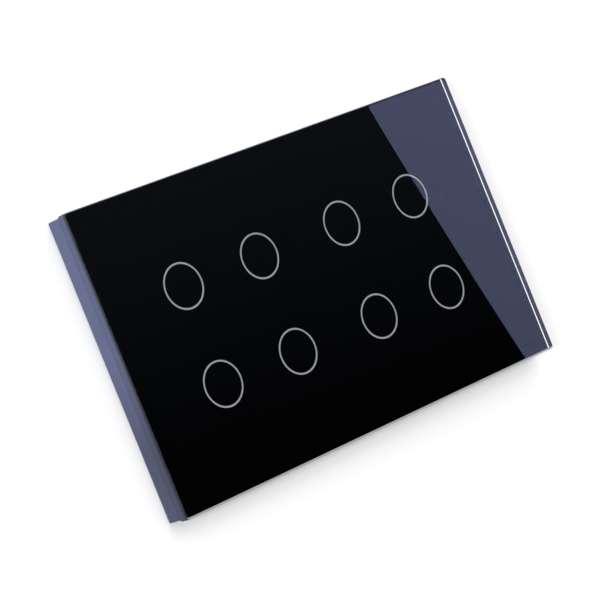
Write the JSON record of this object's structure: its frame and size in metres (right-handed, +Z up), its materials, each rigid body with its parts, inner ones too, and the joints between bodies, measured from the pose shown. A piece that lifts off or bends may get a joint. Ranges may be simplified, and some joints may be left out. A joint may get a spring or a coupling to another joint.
{
  "type": "touch light switch",
  "caption": "Touch light switch for a double wall box: black glass plate with ring-marked touch zones, clip-on frame, steel plate, touch board, relay board and screw terminals.",
  "frame": {"origin": "middle of the wall plane, halfway between the two fixing slots, where the steel plate lies on the wall", "axes": "+X to the right and +Z up as seen from the room, +Y into the wall; the glass faces -Y"},
  "size_m": [0.146, 0.0332, 0.086],
  "materials": {
    "clear_glass": "polished toughened glass with ground edges",
    "black_print": "fired black ink on the back of the glass",
    "ring_ink": "translucent pale ink",
    "tape": "double-sided foam tape",
    "panel_plastic": "smooth moulded plastic",
    "plate_steel": "zinc-plated sheet",
    "spring_steel": "bright spring steel",
    "carrier_plastic": "moulded",
    "board": "solder mask on glass-fibre board",
    "screw_steel": "zinc-plated",
    "diffuser": "translucent moulded",
    "led_body": "LED package",
    "chip_body": "moulded epoxy",
    "can_metal": "tinned can",
    "header_plastic": "moulded",
    "ferrite": "ferrite and bobbin",
    "capacitor_sleeve": "shrink sleeve",
    "varistor_coat": "dipped coating",
    "resistor_coat": "cement coating",
    "housing_plastic": "flame-retardant moulding",
    "relay_plastic": "moulded",
    "relay_base": "moulded",
    "copper_wire": "enamelled copper wire",
    "core_steel": "soft iron, plated",
    "contact_brass": "brass with silver contacts",
    "cage_brass": "plated brass",
    "terminal_plastic": "moulded"
  },
  "bodies": {
    "base": {"mounting_plate": "plate_steel", "catch_springs": "spring_steel", "front_carrier": "carrier_plastic", "touch_board": "board", "board_screws": "screw_steel", "light_rings": "diffuser", "ring_leds": "led_body", "touch_springs": "spring_steel", "touch_chips": "chip_body", "radio_module": "can_metal", "board_header": "header_plastic", "board_socket": "header_plastic", "power_board": "board", "transformer": "ferrite", "bulk_capacitors": "capacitor_sleeve", "varistor": "varistor_coat", "fuse_resistor": "resistor_coat", "rear_housing": "housing_plastic", "housing_screws": "screw_steel", "relay_covers": "relay_plastic", "relay_bases": "relay_base", "relay_coils": "copper_wire", "relay_yokes": "core_steel", "relay_contacts": "contact_brass", "terminal_housing": "terminal_plastic", "terminal_bars": "contact_brass"},
    "front_panel": {"glass_plate": "clear_glass", "glass_print": "black_print", "ring_windows": "ring_ink", "panel_tape": "tape", "panel_frame": "panel_plastic"},
    "relay_armature_1": {"relay_armature_1": "core_steel"},
    "relay_armature_2": {"relay_armature_2": "core_steel"},
    "relay_armature_3": {"relay_armature_3": "core_steel"},
    "relay_armature_4": {"relay_armature_4": "core_steel"},
    "relay_armature_5": {"relay_armature_5": "core_steel"},
    "relay_armature_6": {"relay_armature_6": "core_steel"},
    "relay_armature_7": {"relay_armature_7": "core_steel"},
    "relay_armature_8": {"relay_armature_8": "core_steel"},
    "clamp_cage_1": {"clamp_cage_1": "cage_brass"},
    "clamp_cage_2": {"clamp_cage_2": "cage_brass"},
    "clamp_cage_3": {"clamp_cage_3": "cage_brass"},
    "clamp_cage_4": {"clamp_cage_4": "cage_brass"},
    "clamp_cage_5": {"clamp_cage_5": "cage_brass"},
    "clamp_cage_6": {"clamp_cage_6": "cage_brass"},
    "clamp_cage_7": {"clamp_cage_7": "cage_brass"},
    "clamp_cage_8": {"clamp_cage_8": "cage_brass"},
    "clamp_cage_9": {"clamp_cage_9": "cage_brass"},
    "clamp_cage_10": {"clamp_cage_10": "cage_brass"},
    "terminal_screw_1": {"terminal_screw_1": "screw_steel"},
    "terminal_screw_2": {"terminal_screw_2": "screw_steel"},
    "terminal_screw_3": {"terminal_screw_3": "screw_steel"},
    "terminal_screw_4": {"terminal_screw_4": "screw_steel"},
    "terminal_screw_5": {"terminal_screw_5": "screw_steel"},
    "terminal_screw_6": {"terminal_screw_6": "screw_steel"},
    "terminal_screw_7": {"terminal_screw_7": "screw_steel"},
    "terminal_screw_8": {"terminal_screw_8": "screw_steel"},
    "terminal_screw_9": {"terminal_screw_9": "screw_steel"},
    "terminal_screw_10": {"terminal_screw_10": "screw_steel"}
  },
  "joints": [
    {"name": "panel_pull", "type": "slide", "parent": "base", "child": "front_panel", "axis": [0, -1, 0], "range_m": [0, 0.015], "deforming": ["catch_springs", "touch_springs"]},
    {"name": "relay_pull_1", "type": "hinge", "parent": "base", "child": "relay_armature_1", "pos_m": [-0.01875, 0.0185, 0.0042], "axis": [-1, 0, 0], "range_deg": [0, 4], "stiffness_Nm_per_rad": 0.001, "springref_deg": -8.59},
    {"name": "relay_pull_2", "type": "hinge", "parent": "base", "child": "relay_armature_2", "pos_m": [-0.01125, 0.0185, 0.0042], "axis": [-1, 0, 0], "range_deg": [0, 4], "stiffness_Nm_per_rad": 0.001, "springref_deg": -8.59},
    {"name": "relay_pull_3", "type": "hinge", "parent": "base", "child": "relay_armature_3", "pos_m": [-0.00375, 0.0185, 0.0042], "axis": [-1, 0, 0], "range_deg": [0, 4], "stiffness_Nm_per_rad": 0.001, "springref_deg": -8.59},
    {"name": "relay_pull_4", "type": "hinge", "parent": "base", "child": "relay_armature_4", "pos_m": [0.00375, 0.0185, 0.0042], "axis": [-1, 0, 0], "range_deg": [0, 4], "stiffness_Nm_per_rad": 0.001, "springref_deg": -8.59},
    {"name": "relay_pull_5", "type": "hinge", "parent": "base", "child": "relay_armature_5", "pos_m": [0.01125, 0.0185, 0.0042], "axis": [-1, 0, 0], "range_deg": [0, 4], "stiffness_Nm_per_rad": 0.001, "springref_deg": -8.59},
    {"name": "relay_pull_6", "type": "hinge", "parent": "base", "child": "relay_armature_6", "pos_m": [0.01875, 0.0185, 0.0042], "axis": [-1, 0, 0], "range_deg": [0, 4], "stiffness_Nm_per_rad": 0.001, "springref_deg": -8.59},
    {"name": "relay_pull_7", "type": "hinge", "parent": "base", "child": "relay_armature_7", "pos_m": [0.02625, 0.0185, 0.0042], "axis": [-1, 0, 0], "range_deg": [0, 4], "stiffness_Nm_per_rad": 0.001, "springref_deg": -8.59},
    {"name": "relay_pull_8", "type": "hinge", "parent": "base", "child": "relay_armature_8", "pos_m": [0.03375, 0.0185, 0.0042], "axis": [-1, 0, 0], "range_deg": [0, 4], "stiffness_Nm_per_rad": 0.001, "springref_deg": -8.59},
    {"name": "screw_turn_1", "type": "hinge", "parent": "base", "child": "terminal_screw_1", "pos_m": [-0.03375, 0.0178, -0.0226], "axis": [0, -1, 0], "range_deg": [0, 2160]},
    {"name": "cage_lift_1", "type": "slide", "parent": "base", "child": "clamp_cage_1", "axis": [0, 1, 0], "range_m": [0, 0.003]},
    {"name": "screw_turn_2", "type": "hinge", "parent": "base", "child": "terminal_screw_2", "pos_m": [-0.02625, 0.0178, -0.0226], "axis": [0, -1, 0], "range_deg": [0, 2160]},
    {"name": "cage_lift_2", "type": "slide", "parent": "base", "child": "clamp_cage_2", "axis": [0, 1, 0], "range_m": [0, 0.003]},
    {"name": "screw_turn_3", "type": "hinge", "parent": "base", "child": "terminal_screw_3", "pos_m": [-0.01875, 0.0178, -0.0226], "axis": [0, -1, 0], "range_deg": [0, 2160]},
    {"name": "cage_lift_3", "type": "slide", "parent": "base", "child": "clamp_cage_3", "axis": [0, 1, 0], "range_m": [0, 0.003]},
    {"name": "screw_turn_4", "type": "hinge", "parent": "base", "child": "terminal_screw_4", "pos_m": [-0.01125, 0.0178, -0.0226], "axis": [0, -1, 0], "range_deg": [0, 2160]},
    {"name": "cage_lift_4", "type": "slide", "parent": "base", "child": "clamp_cage_4", "axis": [0, 1, 0], "range_m": [0, 0.003]},
    {"name": "screw_turn_5", "type": "hinge", "parent": "base", "child": "terminal_screw_5", "pos_m": [-0.00375, 0.0178, -0.0226], "axis": [0, -1, 0], "range_deg": [0, 2160]},
    {"name": "cage_lift_5", "type": "slide", "parent": "base", "child": "clamp_cage_5", "axis": [0, 1, 0], "range_m": [0, 0.003]},
    {"name": "screw_turn_6", "type": "hinge", "parent": "base", "child": "terminal_screw_6", "pos_m": [0.00375, 0.0178, -0.0226], "axis": [0, -1, 0], "range_deg": [0, 2160]},
    {"name": "cage_lift_6", "type": "slide", "parent": "base", "child": "clamp_cage_6", "axis": [0, 1, 0], "range_m": [0, 0.003]},
    {"name": "screw_turn_7", "type": "hinge", "parent": "base", "child": "terminal_screw_7", "pos_m": [0.01125, 0.0178, -0.0226], "axis": [0, -1, 0], "range_deg": [0, 2160]},
    {"name": "cage_lift_7", "type": "slide", "parent": "base", "child": "clamp_cage_7", "axis": [0, 1, 0], "range_m": [0, 0.003]},
    {"name": "screw_turn_8", "type": "hinge", "parent": "base", "child": "terminal_screw_8", "pos_m": [0.01875, 0.0178, -0.0226], "axis": [0, -1, 0], "range_deg": [0, 2160]},
    {"name": "cage_lift_8", "type": "slide", "parent": "base", "child": "clamp_cage_8", "axis": [0, 1, 0], "range_m": [0, 0.003]},
    {"name": "screw_turn_9", "type": "hinge", "parent": "base", "child": "terminal_screw_9", "pos_m": [0.02625, 0.0178, -0.0226], "axis": [0, -1, 0], "range_deg": [0, 2160]},
    {"name": "cage_lift_9", "type": "slide", "parent": "base", "child": "clamp_cage_9", "axis": [0, 1, 0], "range_m": [0, 0.003]},
    {"name": "screw_turn_10", "type": "hinge", "parent": "base", "child": "terminal_screw_10", "pos_m": [0.03375, 0.0178, -0.0226], "axis": [0, -1, 0], "range_deg": [0, 2160]},
    {"name": "cage_lift_10", "type": "slide", "parent": "base", "child": "clamp_cage_10", "axis": [0, 1, 0], "range_m": [0, 0.003]}
  ],
  "couplings": [
    {"joint": "screw_turn_1", "follows": "cage_lift_1", "rad_per_m": 12566},
    {"joint": "screw_turn_2", "follows": "cage_lift_2", "rad_per_m": 12566},
    {"joint": "screw_turn_3", "follows": "cage_lift_3", "rad_per_m": 12566},
    {"joint": "screw_turn_4", "follows": "cage_lift_4", "rad_per_m": 12566},
    {"joint": "screw_turn_5", "follows": "cage_lift_5", "rad_per_m": 12566},
    {"joint": "screw_turn_6", "follows": "cage_lift_6", "rad_per_m": 12566},
    {"joint": "screw_turn_7", "follows": "cage_lift_7", "rad_per_m": 12566},
    {"joint": "screw_turn_8", "follows": "cage_lift_8", "rad_per_m": 12566},
    {"joint": "screw_turn_9", "follows": "cage_lift_9", "rad_per_m": 12566},
    {"joint": "screw_turn_10", "follows": "cage_lift_10", "rad_per_m": 12566}
  ]
}
